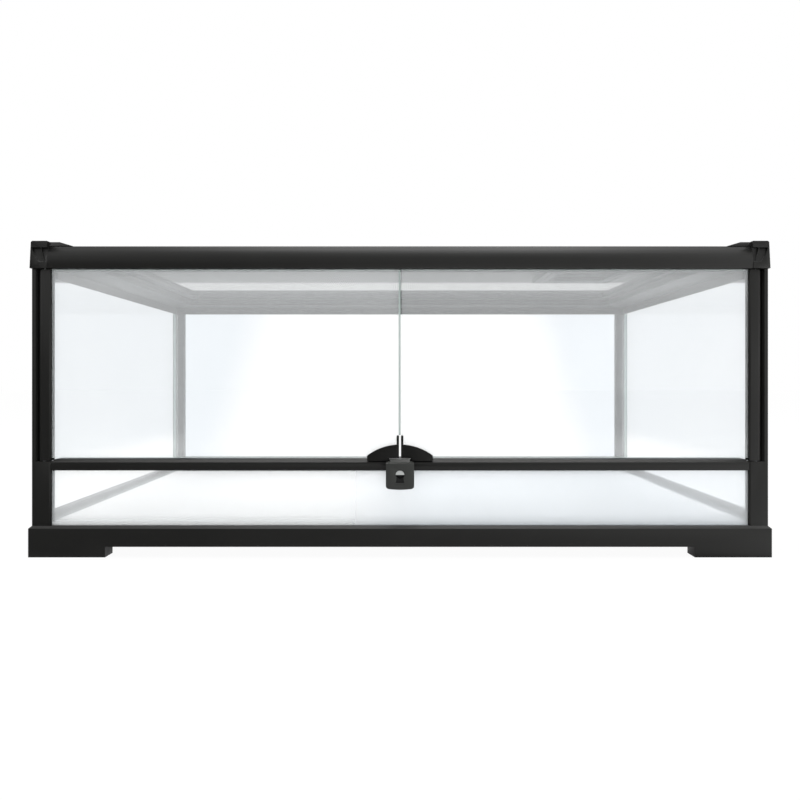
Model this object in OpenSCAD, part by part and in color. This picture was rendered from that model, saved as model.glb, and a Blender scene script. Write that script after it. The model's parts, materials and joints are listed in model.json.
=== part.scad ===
// Front-opening glass reptile terrarium with a moulded base, corner posts, two hinged
// glass doors, a quarter-turn lock and a lift-out screen lid with a feeding hatch.
// Origin: centre of the base at the level it stands on. X right, Y back, Z up.

/* [Tank] */
// Width over the base
tank_w = 914; // [700:1:1200]
// Depth over the base
tank_d = 457; // [400:1:600]
// Height of the top rails above the ground
tank_h = 385; // [340:1:600]
// Thickness of the fixed panes
glass_t = 5; // [4:0.5:6]
// Clearance around a pane in its channel
pane_gap = 0.3; // [0.2:0.1:0.6]

/* [Base] */
// Height of the feet under the base rails
foot_h = 13.5; // [10:0.5:25]
// Length of each leg of an L-shaped foot
foot_l = 94.5; // [60:0.5:150]
// Width of each leg of a foot
foot_t = 20; // [18:0.5:30]
// Height of the base rails
base_rail_h = 25.3; // [22:0.1:50]
// Chamfer along the upper edge of the base rails
base_chamfer = 3; // [1:0.5:3]
// Wall of the base rails
base_wall = 6; // [4:0.5:10]
// Width of the ledge that carries the panes, beyond the panes
ledge_w = 14; // [8:0.5:20]
// Thickness of that ledge
ledge_t = 4; // [3:0.5:6]
// Depth of the ledge below the top of the front base rail
ledge_drop = 2.3; // [1:0.1:4]
// Height of the side lips above the front base rail
lip_h = 11.2; // [4:0.1:15]
// Height of the rear lip between the rear posts above the front base rail
rear_lip_h = 29.2; // [12:0.1:40]
// Radius of the rubber foot pads
pad_r = 8; // [5:0.5:9]
// Thickness of the rubber foot pads
pad_t = 3; // [2:0.5:5]
// How far the pads stand proud of the feet
pad_proud = 0.6; // [0.3:0.1:1.5]

/* [Posts] */
// Inset of the posts from the base's outer faces
post_inset = 3; // [3:0.5:6]
// Depth of the front posts
post_d = 20.5; // [19:0.5:26]
// Width of the outer strip that shields the hinge stile
strip_w = 6; // [4:0.1:7]
// Frame thickness outside the side panes
side_wall = 12.7; // [12:0.1:16]
// Frame thickness behind the rear pane
rear_wall = 10.6; // [9:0.1:14]
// Frame thickness in front of the lower front pane
front_wall = 3.2; // [2.5:0.1:4]
// Gap between that strip and the hinge stile
strip_gap = 1; // [0.6:0.1:2]
// Width of the rear posts
rear_post_w = 21.3; // [18:0.1:40]
// How far the rear posts reach out past the side panes
rear_post_out = 3; // [1:0.5:8]
// Width of the slope along the strip's inner front edge
strip_bevel = 1.8; // [1:0.1:2.5]
// Angle of that slope from the strip's side
strip_lean = 20; // [15:1:30]

/* [Door rail] */
// Height of the door rail's underside
door_rail_z = 107; // [80:0.5:180]
// Height of the door rail
door_rail_h = 13.5; // [11:0.5:20]
// Chamfer along the door rail's front and ends
door_rail_chamfer = 3.5; // [1.5:0.5:4]
// How far the lower front pane enters the door rail
rail_groove = 3; // [2:0.5:4]

/* [Doors] */
// Thickness of the door glass
door_glass_t = 4; // [3:0.5:4.5]
// Gap between the two door panes
door_gap = 3.4; // [2.5:0.1:5]
// Gap between a door pane's lower edge and the door rail
door_lift = 1.8; // [1.4:0.1:3]
// Gap between a door pane's upper edge and the top rail
door_head = 0.8; // [0.6:0.1:3]
// Radius of the hinge stiles' outer side, around the pins
stile_r = 5.5; // [5:0.1:6]
// Width of the hinge stiles
stile_w = 16; // [15:0.5:20]
// Radius of the hinge stiles' inner corners
stile_corner = 2.5; // [1:0.1:3]
// Step of the lower post blocks below the door rail's top
block_drop = 2.5; // [1:0.1:4]
// Gap between a stile and the post or the corner block at its ends
stile_gap = 0.7; // [0.4:0.1:1.5]
// How far the glass enters the stile
stile_slot = 4; // [3:0.5:4.5]
// Radius of the hinge pins
pin_r = 2; // [1.5:0.1:2.5]
// Length of a hinge pin in the stile, and again in its bearing
pin_l = 8; // [5:0.5:10]
// Radial clearance of the hinge pins
pin_fit = 0.05; // [0.02:0.01:0.1]
// Width of the clear seal strip in the gap between the doors
seal_w = 2.5; // [1.5:0.1:3]

/* [Handles] */
// Reach of a handle from the middle of the tank
handle_w = 40.5; // [30:0.5:60]
// Height of a handle at the middle
handle_h = 19.9; // [14:0.1:30]
// Height of a handle at its outer end
handle_end_h = 6.4; // [5.5:0.1:10]
// Thickness of a handle in front of the glass
handle_t = 5; // [3:0.5:7]
// Thickness of a handle at its lower edge
handle_edge = 1.2; // [0.8:0.1:2]
// How far the handles reach down in front of the door rail's chamfer
handle_drop = 1.6; // [0:0.1:2]
// Height of the clip fin above the foot of the handle
fin_h = 30.9; // [22:0.1:45]
// Wall of the clip fin around the glass edge
fin_wall = 0.5; // [0.4:0.1:1]
// Width of the clip fin's leaves
fin_w = 3; // [2:0.1:5]
// Thickness of the clip fin's leaves
fin_leaf = 1.8; // [1:0.1:3]

/* [Lock] */
// Drop of the lock housing's top below the door rail's top
lock_step = 2; // [0:0.1:4]
// Width of the lock housing's front
lock_w = 34.4; // [32:0.2:46]
// Height of the lock housing
lock_h = 33.3; // [33:0.1:46]
// How far the lock housing stands in front of the door rail
lock_d = 11.5; // [11:0.5:13]
// How much each side of the housing draws in towards the back
lock_taper = 3.6; // [1:0.1:4]
// Drop of the housing's bottom edge in the middle
lock_bulge = 3; // [1:0.1:4]
// Radius of the housing's lower corners
lock_corner = 4; // [2:0.5:6]
// Thickness of the housing's front
lock_front_t = 3; // [2.5:0.1:3.5]
// Thickness of the housing's other walls
lock_wall = 2; // [1.5:0.1:2.5]
// Height of the lock's core below the top of the housing
core_drop = 15.3; // [15:0.1:20]
// Radius of the steel lock core
core_r = 5.2; // [4.5:0.1:6]
// Depth of the half-moon key recess in the core
key_depth = 1.4; // [0.8:0.1:2]
// Radius of the core's shaft
shaft_r = 2.4; // [2:0.1:3]
// Depth of the arched recess around the core
keyhole_depth = 1.5; // [0.8:0.1:1.8]
// Length of the arched recess below the core's axis
keyhole_h = 10; // [7:0.5:11]
// Width of that recess at its foot
keyhole_w = 10.8; // [8:0.2:12]
// Width of the raised collar around the bolt
collar_w = 25.2; // [16:0.2:28]
// Gap between that collar's top and the doors' lower edge
collar_gap = 0.4; // [0.3:0.1:1]
// Smallest radius of the spiral cam
cam_r = 4.5; // [4.2:0.1:5]
// Lift of the bolt in a quarter turn of the core
bolt_lift = 5; // [3:0.5:5.5]
// Thickness of the cam
cam_t = 2.4; // [1.5:0.1:2.6]
// Width of the lock bolt
bolt_w = 9; // [6:0.5:10]
// Thickness of the lock bolt
bolt_t = 3; // [2:0.1:3]
// Gap between the bolt and the handles
bolt_gap = 0.5; // [0.3:0.1:1]

/* [Top frame] */
// Inset of the top frame from the base's outer faces
top_inset = 1.5; // [1:0.5:3]
// Height of the top rails' outer faces
fascia_h = 28.8; // [24:0.1:36]
// Height of the upright part of those faces
fascia_band = 12; // [8:0.1:14]
// How far the face leans back at its top
fascia_lean = 5; // [3:0.5:7]
// Radius along the upper outer edge
fascia_r = 3.2; // [2:0.1:4]
// Width of the side and rear top rails up to the lid
top_rail_w = 57; // [45:0.5:80]
// Width of the front top rail up to the lid
front_rail_w = 24; // [22:0.5:32]
// Width of the ledge under the lid's ends and back
lid_ledge_w = 12.5; // [8:0.5:16]
// Width of the ledge under the lid's front
front_ledge_w = 5.5; // [4:0.5:12]
// Depth of the lid's recess
lid_recess = 16.6; // [14:0.1:22]
// Wall of the top rails
top_wall = 3; // [2:0.5:4]
// Thickness of the ledge that carries the lid
lid_ledge_t = 10.4; // [6:0.1:11]
// Depth of the inner skirt over the side and rear panes
skirt_h = 12; // [8:0.1:20]
// Thickness of that skirt
skirt_t = 2.8; // [2:0.1:4]
// Height of the stop lip behind the doors' upper edge
stop_h = 2.8; // [2:0.1:4]
// Height of the corner blocks above the top rails
corner_h = 5.2; // [3:0.1:10]
// Length of the corner blocks along the rails
corner_l = 49; // [42:0.5:70]
// Slope run of the corner blocks' caps
corner_slope = 17; // [10:0.5:24]
// Draft of the corner blocks' outer faces
corner_draft = 1; // [0.5:0.1:3]
// Depth of the scoops in the corner blocks' faces
scoop_d = 3.6; // [2:0.1:4]

/* [Lid] */
// Gap around the lid in its recess
lid_gap = 0.5; // [0.3:0.1:1.5]
// Width of the lid's bars
lid_bar = 27; // [22:0.5:34]
// Width of the raised outer part of the bars
lid_rim = 14; // [10:0.5:16]
// Height of the mesh above the lid's underside
mesh_rise = 9.6; // [7:0.1:11]
// Thickness of the woven wire mesh
mesh_t = 0.6; // [0.4:0.1:1]
// Width and depth of the spline groove
groove_w = 3.4; // [2.5:0.1:4]

/* [Hatch] */
// Distance of the hatch opening's middle from the lid's right end
hatch_side = 128; // [105:1:190]
// Width of the hatch opening
hatch_w = 106; // [80:1:130]
// Depth of the hatch opening
hatch_d = 143; // [100:1:160]
// Width of the fixed surround
surround_w = 8; // [8:0.5:12]
// Width of the hatch frame's bars
hatch_bar = 11; // [10:0.5:15]
// Gap around the hatch
hatch_gap = 0.8; // [0.5:0.1:1.5]
// Height of the surround's underside above the lid's
surround_lift = 2.6; // [0:0.1:5]
// Radius of the hatch's hinge pins
hatch_pin_r = 1.25; // [1:0.05:1.5]
// Length of the lifting tab
tab_l = 30; // [15:1:50]
// Thickness of the lifting tab
tab_t = 2.4; // [1.5:0.1:4]
// How far the lifting tab reaches past the surround
tab_out = 3; // [1:0.5:6]

/* [Fasteners] */
// Radius of the screws that hold the posts
screw_r = 2; // [1.5:0.1:2.2]
// Length of the screws that hold the posts
screw_l = 34; // [30:1:40]
// Radius of their heads
head_r = 3.8; // [3:0.1:4.5]
// Radius of the two lock screws
lock_screw_r = 1.3; // [1:0.1:1.5]
// Leg of the sealant beads
bead = 4; // [2:0.5:6]

/* [Hidden] */
$fn = 64;
eps = 0.01;
through = 400;

// Base
base_x = tank_w / 2;
base_y = tank_d / 2;
base_top = foot_h + base_rail_h;
ledge_z = base_top - ledge_drop;
lip_top = base_top + lip_h;
rear_lip_top = base_top + rear_lip_h;

// Posts and the channels for the fixed panes
post_x = base_x - post_inset;
post_y = base_y - post_inset;
seat_x = post_x - side_wall;
seat_front = post_y - front_wall;
seat_rear = post_y - rear_wall;
pane_x = seat_x - pane_gap;
pane_front = seat_front - pane_gap;
pane_rear = seat_rear - pane_gap;
inner_x = pane_x - glass_t;
inner_front = pane_front - glass_t;
inner_rear = pane_rear - glass_t;
front_pane_x = inner_x;
rear_post_x = pane_x + rear_post_out;

// Hinge line of the doors
stile_x = post_x - strip_w - strip_gap - stile_r;
stile_y = post_y - stile_r;
post_in_x = stile_x + stile_r - stile_w;
side_pane_front = stile_y - stile_r - 0.8;
post_back = post_y - post_d;
web_front = side_pane_front + 0.4;

// Door rail and doors
rail_top = door_rail_z + door_rail_h;
block_top = rail_top - block_drop;
stile_z0 = block_top + stile_gap;
fascia_z = tank_h - fascia_h;
stile_z1 = fascia_z - stile_gap;
door_z0 = rail_top + door_lift;
door_z1 = fascia_z - door_head;
door_front = pane_front;
door_rear = door_front - door_glass_t;
door_out_x = post_in_x + stile_slot;
slot_fit = 0.05;
screw_fit = 0.05;
bore_r = pin_r + pin_fit;
bore_l = pin_l + 0.3;

// Handles
handle_z = rail_top - handle_drop;
handle_front = door_front + handle_t;
fin_in = door_gap / 2 - fin_wall;
arc_drop = handle_h - handle_end_h;
arc_r = (handle_w * handle_w + arc_drop * arc_drop) / (2 * arc_drop);

// Lock
lock_top = rail_top - lock_step;
lock_z = lock_top - lock_h;
collar_top = door_z0 - collar_gap;
notch_x = collar_w / 2 + 0.5;
notch_z = collar_top + 0.5;
lock_y = post_y + lock_d;
core_z = lock_top - core_drop;
lock_in_y = lock_y - lock_front_t;
keyhole_r = core_r + 0.4;
keyhole_neck = core_r - 0.9;
bolt_y0 = handle_front + bolt_gap;
bolt_y1 = bolt_y0 + bolt_t;
cam_y0 = bolt_y1 + 0.6;
cam_y1 = cam_y0 + cam_t;
nose_r = 1;
nose_z = core_z + cam_r + 0.6 + nose_r;
bolt_top = collar_top - 0.3;
shaft_end = post_y + 0.4;
plate_y = post_y + 1.6;
square = shaft_r * 1.3;
lock_screw_x = bolt_w / 2 + 4.2;
lock_screw_z = lock_top - 4.6;
boss_r = lock_screw_r + 1.3;

// Top frame
top_x = base_x - top_inset;
top_y = base_y - top_inset;
crease_z = fascia_z + fascia_band;
recess_z = tank_h - lid_recess;
under_z = recess_z - lid_ledge_t;
skirt_z = under_z - skirt_h;
channel_z = recess_z - top_wall - 1;
pane_top = channel_z - 1;
recess_x = top_x - top_rail_w;
recess_front = top_y - front_rail_w;
recess_rear = top_y - top_rail_w;
corner_z = tank_h + corner_h;
core_back = side_pane_front + 0.6;
core_in = post_in_x + 4;
corner_round = 1.5;
cap_in = fascia_lean + 1.3;
cap_lean = 1.5;

// Lid and hatch
lid_x = recess_x - lid_gap;
hatch_x = lid_x - hatch_side;
lid_front = recess_front - lid_gap;
lid_rear = recess_rear - lid_gap;
mesh_z = recess_z + mesh_rise;
hatch_y = -(lid_front - lid_bar) + surround_w + hatch_d / 2;
hatch_z = recess_z + surround_lift;
hatch_in_w = hatch_w - 2 * hatch_gap;
hatch_in_d = hatch_d - 2 * hatch_gap;
hinge_round = 2.7;
hinge_x = hatch_x - hatch_in_w / 2 + hinge_round;
hinge_z = tank_h - hinge_round;
hatch_pin_in = 7;
hatch_pin_out = surround_w - 2;

// Screws
screw_x = post_x - 6.5;
screw_front = post_y - 14.5;
screw_rear_x = rear_post_x - rear_post_w / 2;
screw_rear = post_y - rear_wall / 2;
screw_z = ledge_z - ledge_t - 6;
column_x = screw_rear_x - head_r - 2;
column_y = screw_front - head_r - 2;

black = "#262624";
dark = "#1c1c1b";
clear = [0.86, 0.93, 0.94, 0.3];
steel = "#b9bcbd";

// A cuboid between two opposite corners
module block(a, b) {
    translate([min(a.x, b.x), min(a.y, b.y), min(a.z, b.z)])
        cube([abs(b.x - a.x), abs(b.y - a.y), abs(b.z - a.z)]);
}

// A cylinder along Y between two depths, centred at x and z
module rod_y(r, x, z, y0, y1) {
    translate([x, min(y0, y1), z]) rotate([-90, 0, 0]) cylinder(r = r, h = abs(y1 - y0));
}

// An outline in X and Z carried along Y between two depths
module along_y(y0, y1) {
    translate([0, max(y0, y1), 0]) rotate([90, 0, 0]) linear_extrude(abs(y1 - y0)) children();
}

// An outline in Y and Z carried along X between two places
module along_x(x0, x1) {
    translate([min(x0, x1), 0, 0]) rotate([90, 0, 90]) linear_extrude(abs(x1 - x0)) children();
}

// The right-hand piece as it is, or its mirror image on the left
module side(left) {
    if (left) mirror([1, 0, 0]) children();
    else children();
}

// Points on a circle from one angle to another
function arc(c, r, a0, a1, n) =
    [for (i = [0:n]) [c.x + r * cos(a0 + (a1 - a0) * i / n), c.y + r * sin(a0 + (a1 - a0) * i / n)]];

// Points on a curve that leaves a towards b and arrives at c from b
function bend(a, b, c, n) =
    [for (i = [0:n]) let (t = i / n) (1 - t) * (1 - t) * a + 2 * t * (1 - t) * b + t * t * c];

// ---- Base ----

module base_outline(half) {
    polygon([
        [-half, foot_h], [half, foot_h], [half, base_top - base_chamfer],
        [half - base_chamfer, base_top], [-half + base_chamfer, base_top],
        [-half, base_top - base_chamfer]
    ]);
}

module foot() {
    block([base_x, base_y, pad_proud], [base_x - foot_l, base_y - foot_t, foot_h + eps]);
    block([base_x, base_y, pad_proud], [base_x - foot_t, base_y - foot_l, foot_h + eps]);
    // solid corner for the post screws
    block([base_x - base_wall, base_y - base_wall, foot_h], [column_x, column_y, ledge_z - ledge_t + eps]);
}

module pad_places() {
    for (sx = [-1, 1], sy = [-1, 1])
        translate([sx * (base_x - foot_l / 2), sy * (base_y - foot_t / 2), 0]) children();
}

module screw_places() {
    for (sx = [-1, 1]) {
        translate([sx * screw_x, -screw_front, 0]) children();
        translate([sx * screw_rear_x, screw_rear, 0]) children();
    }
}

module base_frame() {
    color(black) difference() {
        union() {
            difference() {
                intersection() {
                    along_y(-base_y, base_y) base_outline(base_x);
                    along_x(-base_x, base_x) base_outline(base_y);
                }
                // hollow below the ledge
                block([-base_x + base_wall, -base_y + base_wall, 0],
                    [base_x - base_wall, base_y - base_wall, ledge_z - ledge_t]);
                // seat for the panes
                block([-seat_x, -seat_front, ledge_z], [seat_x, seat_rear, through]);
            }
            // side and rear lips
            for (s = [-1, 1])
                block([s * seat_x, -post_back, base_top - 1], [s * post_x, post_y, lip_top]);
            block([-post_x, seat_rear, base_top - 1], [post_x, post_y, lip_top]);
            block([-rear_post_x + rear_post_w, seat_rear, base_top - 1],
                [rear_post_x - rear_post_w, post_y, rear_lip_top]);
            for (mx = [0, 1], my = [0, 1]) mirror([mx, 0, 0]) mirror([0, my, 0]) foot();
        }
        // opening under the floor pane
        block([-(inner_x - ledge_w), -(inner_front - ledge_w), -1],
            [inner_x - ledge_w, inner_rear - ledge_w, through]);
        pad_places() cylinder(r = pad_r + 0.1, h = pad_t);
        screw_places() {
            cylinder(r = head_r + 0.3, h = screw_z);
            cylinder(r = screw_r + 0.2, h = through);
        }
    }
}

module foot_pads() {
    color("#2b2b2b") pad_places() cylinder(r = pad_r, h = pad_t);
}

// ---- Fixed panes ----

module floor_glass() {
    color(clear) block([-inner_x + pane_gap, -inner_front + pane_gap, ledge_z],
        [inner_x - pane_gap, inner_rear - pane_gap, ledge_z + glass_t]);
}

module front_glass() {
    color(clear) block([-front_pane_x, -pane_front, ledge_z],
        [front_pane_x, -inner_front, door_rail_z + rail_groove]);
}

module side_glass() {
    color(clear) block([inner_x, -side_pane_front, ledge_z],
        [pane_x, inner_rear - pane_gap, pane_top]);
}

module left_glass() { side(true) side_glass(); }
module right_glass() { side(false) side_glass(); }

module rear_glass() {
    color(clear) block([-pane_x, inner_rear, ledge_z], [pane_x, pane_rear, pane_top]);
}

// Beads along the floor pane's edges
module floor_sealant() {
    z = ledge_z + glass_t;
    y0 = -inner_front + pane_gap;
    y1 = inner_rear - pane_gap;
    x1 = inner_x - pane_gap;
    color(dark) {
        for (m = [0, 1]) mirror([m, 0, 0])
            along_y(-side_pane_front, y1 - bead)
                polygon([[x1, z], [x1, z + bead], [x1 - bead, z]]);
        along_x(-x1, x1) polygon([[y1, z], [y1, z + bead], [y1 - bead, z]]);
        along_x(-post_in_x, post_in_x) polygon([[y0, z], [y0 + bead, z], [y0, z + bead]]);
    }
}

// Beads up the rear corners
module corner_sealant() {
    x1 = inner_x - pane_gap;
    y1 = inner_rear - pane_gap;
    color(dark) for (m = [0, 1]) mirror([m, 0, 0])
        translate([0, 0, ledge_z + glass_t + bead + 0.3])
            linear_extrude(skirt_z - ledge_z - glass_t - bead - 0.6)
                polygon([[x1, y1], [x1 - bead, y1], [x1, y1 - bead]]);
}

// ---- Posts ----

// Section of a hinge stile: round about the pins, flat in front, with softer inner corners
module stile_section() {
    c = stile_corner;
    translate([stile_x, -stile_y]) circle(stile_r);
    translate([post_in_x + c, -stile_y - stile_r]) square([stile_x - post_in_x - c, 2 * stile_r]);
    translate([post_in_x, -stile_y - stile_r + c]) square([c + eps, 2 * (stile_r - c)]);
    for (y = [-1, 1]) translate([post_in_x + c, -stile_y + y * (stile_r - c)]) circle(c);
}

module front_post() {
    color(black) difference() {
        union() {
            // outer strip, sloped along its inner front edge so that the stile can turn past it
            translate([0, 0, base_top]) linear_extrude(fascia_z - base_top) polygon([
                [post_x, -post_y], [post_x, -post_back], [seat_x, -post_back],
                [seat_x, -web_front], [post_x - strip_w, -web_front],
                [post_x - strip_w, -post_y + strip_bevel / tan(strip_lean)],
                [post_x - strip_w + strip_bevel, -post_y]
            ]);
            // lower block under the hinge stile
            translate([0, 0, base_top]) linear_extrude(block_top - base_top) stile_section();
            block([stile_x, -post_y, base_top], [post_x - eps, -web_front, block_top]);
            // heel on the ledge behind the lower front pane
            block([inner_x, -inner_front + pane_gap, ledge_z],
                [seat_x - pane_gap, -side_pane_front - pane_gap, base_top + eps]);
            // cheek that meets the end of the door rail
            block([post_in_x, -post_y + door_rail_chamfer, door_rail_z],
                [stile_x, -web_front, block_top]);
        }
        // room for the corner of the floor pane
        block([0, -inner_front, 0], [inner_x, 0, ledge_z + glass_t + pane_gap]);
        // channel for the lower front pane
        block([0, -seat_front, 0], [front_pane_x + pane_gap, -inner_front + pane_gap,
            door_rail_z + rail_groove + pane_gap]);
        translate([stile_x, -stile_y, block_top - bore_l]) cylinder(r = bore_r, h = bore_l + 1);
        translate([screw_x, -screw_front, 0])
            cylinder(r = screw_r + screw_fit, h = screw_z + screw_l + 0.5);
    }
}

module rear_post() {
    color(black) difference() {
        block([rear_post_x - rear_post_w, seat_rear, lip_top], [rear_post_x, post_y, fascia_z]);
        translate([screw_rear_x, screw_rear, 0])
            cylinder(r = screw_r + screw_fit, h = screw_z + screw_l + 0.5);
    }
}

module left_front_post() { side(true) front_post(); }
module right_front_post() { side(false) front_post(); }
module left_rear_post() { side(true) rear_post(); }
module right_rear_post() { side(false) rear_post(); }

module post_screws() {
    color(steel) screw_places() {
        translate([0, 0, screw_z - 2.4]) cylinder(r = head_r, h = 2.4);
        translate([0, 0, screw_z - eps]) cylinder(r = screw_r, h = screw_l);
    }
}

// ---- Door rail ----

module door_rail() {
    c = door_rail_chamfer;
    color(black) difference() {
        intersection() {
            along_x(-post_in_x, post_in_x) polygon([
                [-post_y, door_rail_z], [-post_back, door_rail_z], [-post_back, rail_top],
                [-post_y + c, rail_top], [-post_y, rail_top - c]
            ]);
            along_y(-post_y, -post_back) polygon([
                [-post_in_x, door_rail_z], [post_in_x, door_rail_z], [post_in_x, rail_top - c],
                [post_in_x - c, rail_top], [-post_in_x + c, rail_top], [-post_in_x, rail_top - c]
            ]);
        }
        block([-through * 2, -seat_front, 0],
            [through * 2, -inner_front + pane_gap, door_rail_z + rail_groove + pane_gap]);
        for (s = [-1, 1]) {
            rod_y(lock_screw_r + 0.2, s * lock_screw_x, lock_screw_z, -post_y - 1, -post_back + 1);
            rod_y(lock_screw_r * 2 + 0.2, s * lock_screw_x, lock_screw_z, -post_back - 3,
                -post_back + 1);
        }
    }
}

// ---- Top frame ----

// Section of a top rail whose face is at out: u runs inwards from that face, w is the
// width up to the lid, and the underside is stepped as the points in under say
module rail_section(w, ledge, under, hollow_u) {
    lean = [fascia_lean, tank_h - fascia_r];
    difference() {
        polygon(concat(
            [[0, fascia_z]],
            bend([0, crease_z], [1.4, (crease_z + tank_h) / 2], lean, 6),
            bend(lean, [fascia_lean + fascia_r * 0.4, tank_h], [fascia_lean + fascia_r, tank_h], 4),
            [[w, tank_h], [w, recess_z], [w + ledge, recess_z], [w + ledge, under_z]],
            under
        ));
        // hollow of the section
        translate([hollow_u, under_z + top_wall])
            square([w - hollow_u - top_wall, tank_h - under_z - 2 * top_wall]);
    }
}

// A top rail with a channel for a pane between seat and inner, and a skirt inside the pane
module glazed_bar(out, half, seat, inner) {
    u = out - inner + 0.2;
    along_x(-half, half) translate([-out, 0]) rail_section(top_rail_w, lid_ledge_w, [
        [u + skirt_t, under_z], [u + skirt_t, skirt_z], [u, skirt_z], [u, channel_z],
        [out - seat, channel_z], [out - seat, fascia_z]
    ], u + top_wall);
}

// The top rail over the doors
module door_head_bar() {
    u = top_y - door_rear + 0.5;
    along_x(-top_x, top_x) translate([-top_y, 0])
        rail_section(front_rail_w, front_ledge_w, [[u, under_z], [u, fascia_z]], u + top_wall);
}

// Space taken from the rails by the corner blocks
module corner_core(grow) {
    out = top_x + 0.5 + grow;
    along_y(-top_y - 1 - grow, -core_back) polygon([
        [core_in, fascia_z - grow], [core_in, corner_z + grow],
        [out - corner_draft - corner_round, corner_z + grow],
        [out - corner_draft, corner_z + grow - corner_round], [out, fascia_z - grow]
    ]);
}

module at_corners() {
    for (mx = [0, 1], my = [0, 1]) mirror([mx, 0, 0]) mirror([0, my, 0]) children();
}

module plan(points) {
    translate([0, 0, skirt_z - 1]) linear_extrude(through) polygon(points);
}

module top_front_rail() {
    a = front_rail_w;
    color(black) {
        difference() {
            intersection() {
                door_head_bar();
                plan([
                    [-top_x, -top_y], [top_x, -top_y], [top_x - a, -top_y + a],
                    [recess_x, -top_y + a], [recess_x, -top_y + a + front_ledge_w],
                    [-recess_x, -top_y + a + front_ledge_w], [-recess_x, -top_y + a],
                    [-top_x + a, -top_y + a]
                ]);
            }
            at_corners() corner_core(1);
            // room for the front ends of the side panes
            for (s = [-1, 1])
                block([s * (inner_x - pane_gap), -core_back, 0], [s * top_x, 0, pane_top + 1]);
        }
        // stop lip behind the upper edge of the doors
        block([-post_in_x + 2, -door_rear + 0.5, fascia_z - stop_h],
            [post_in_x - 2, -door_rear + 3.5, under_z + 1]);
    }
}

module top_rear_rail() {
    w = top_rail_w + lid_ledge_w;
    color(black) difference() {
        intersection() {
            rotate([0, 0, 180]) glazed_bar(top_y, top_x, seat_rear, inner_rear);
            plan([[-top_x, top_y], [top_x, top_y], [top_x - w, top_y - w], [-top_x + w, top_y - w]]);
        }
        at_corners() corner_core(1);
        // room for the ends of the side panes
        for (s = [-1, 1]) block([s * (inner_x - pane_gap), 0, 0], [s * seat_x, seat_rear, pane_top + 1]);
    }
}

module top_side_rail() {
    a = front_rail_w;
    w = top_rail_w + lid_ledge_w;
    color(black) difference() {
        intersection() {
            rotate([0, 0, 90]) glazed_bar(top_x, top_y, seat_x, inner_x);
            plan([
                [top_x, -top_y], [top_x, top_y], [top_x - w, top_y - w],
                [top_x - w, -top_y + a + front_ledge_w], [recess_x, -top_y + a + front_ledge_w],
                [recess_x, -top_y + a], [top_x - a, -top_y + a]
            ]);
        }
        at_corners() corner_core(1);
    }
}

module top_left_rail() { side(true) top_side_rail(); }
module top_right_rail() { side(false) top_side_rail(); }

// Two hollows in the face of a corner block, with a thin rib between them; their floor
// slopes back from the foot to the top
module corner_scoops() {
    z0 = crease_z - 4;
    z1 = tank_h - 3;
    rib = 0.4;
    rib_top = core_in + 7.5;
    rib_foot = core_in + 2.5;
    intersection() {
        along_x(0, top_x + 1) polygon([
            [-top_y - 2, z0], [-top_y + 0.2, z0], [-top_y + scoop_d, z1], [-top_y - 2, z1]
        ]);
        along_y(-top_y - 2, 0) {
            polygon(concat(
                bend([top_x - 2, z1], [top_x - 5, z0 + 6], [rib_foot + 6, z0], 6),
                [[rib_foot + rib, z0], [rib_top + rib, z1]]
            ));
            polygon([
                [rib_top - rib, z1], [rib_foot - rib, z0], [core_in - 1, z0], [core_in - 1, z1]
            ]);
        }
    }
}

// Corner block: a drafted corner over the post and a cap over the rails' ends
module corner_block(front) {
    d = corner_draft;
    color(dark) difference() {
        union() {
            intersection() {
                corner_core(0);
                along_x(0, top_x + 1) polygon([
                    [-top_y - 0.5, fascia_z], [-core_back, fascia_z], [-core_back, corner_z],
                    [-top_y - 0.5 + d, corner_z]
                ]);
            }
            intersection() {
                along_y(-top_y, 0) polygon([
                    [top_x - corner_l, tank_h], [top_x - corner_l + corner_slope, corner_z],
                    [top_x - cap_in - cap_lean, corner_z], [top_x - cap_in, tank_h]
                ]);
                along_x(0, top_x) polygon([
                    [-top_y + corner_l, tank_h], [-top_y + corner_l - corner_slope, corner_z],
                    [-top_y + cap_in + cap_lean, corner_z], [-top_y + cap_in, tank_h]
                ]);
            }
        }
        corner_scoops();
        if (front) {
            translate([stile_x, -stile_y, fascia_z - 1]) cylinder(r = bore_r, h = bore_l + 1);
        } else {
            // channels for the rear and side panes
            block([0, -seat_rear, 0], [seat_x, 0, pane_top + 0.5]);
        }
    }
}

module front_left_corner() { side(true) corner_block(true); }
module front_right_corner() { side(false) corner_block(true); }
module rear_left_corner() { side(true) mirror([0, 1, 0]) corner_block(false); }
module rear_right_corner() { side(false) mirror([0, 1, 0]) corner_block(false); }

// ---- Lid ----

// A cuboid over the lid, drawn in by v on every side
module lid_box(v, z0, z1) {
    block([-lid_x + v, -lid_front + v, z0], [lid_x - v, lid_rear - v, z1]);
}

// A cuboid over the hatch opening, grown by g on every side
module hatch_box(g, z0, z1) {
    block([hatch_x - hatch_w / 2 - g, hatch_y - hatch_d / 2 - g, z0],
        [hatch_x + hatch_w / 2 + g, hatch_y + hatch_d / 2 + g, z1]);
}

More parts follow.
